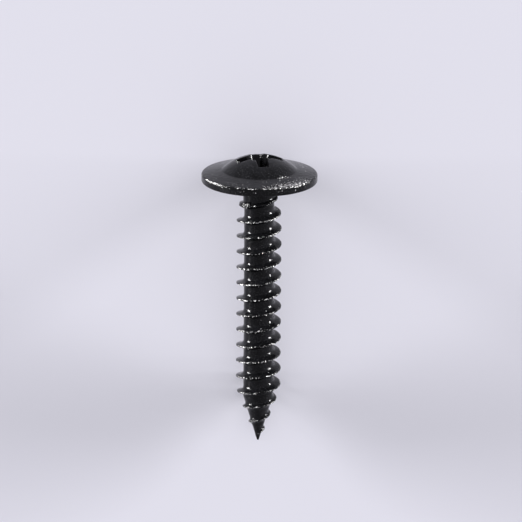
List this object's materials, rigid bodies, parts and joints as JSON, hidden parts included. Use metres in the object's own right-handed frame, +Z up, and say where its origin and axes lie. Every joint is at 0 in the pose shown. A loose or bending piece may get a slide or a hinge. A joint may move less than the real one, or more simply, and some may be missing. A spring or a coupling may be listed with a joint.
{
  "type": "truss head sheet metal screw",
  "caption": "Black steel screw with a thin flanged truss head, a cross recess in its low dome and a coarse thread that runs to a gimlet point, for fastening sheet metal.",
  "frame": {"origin": "centre of the underside of the screw's box, on the plane that it lies on", "axes": "+Z up from that plane; +Y level along the screw towards its head. The screw's own axis rises 9.57 degrees from +Y towards the head, because it lies on its rim and on a thread crest."},
  "size_m": [0.0108, 0.0276, 0.0107],
  "materials": {
    "black_steel": "satin"
  },
  "bodies": {
    "root": {"screw": "black_steel"}
  },
  "joints": []
}
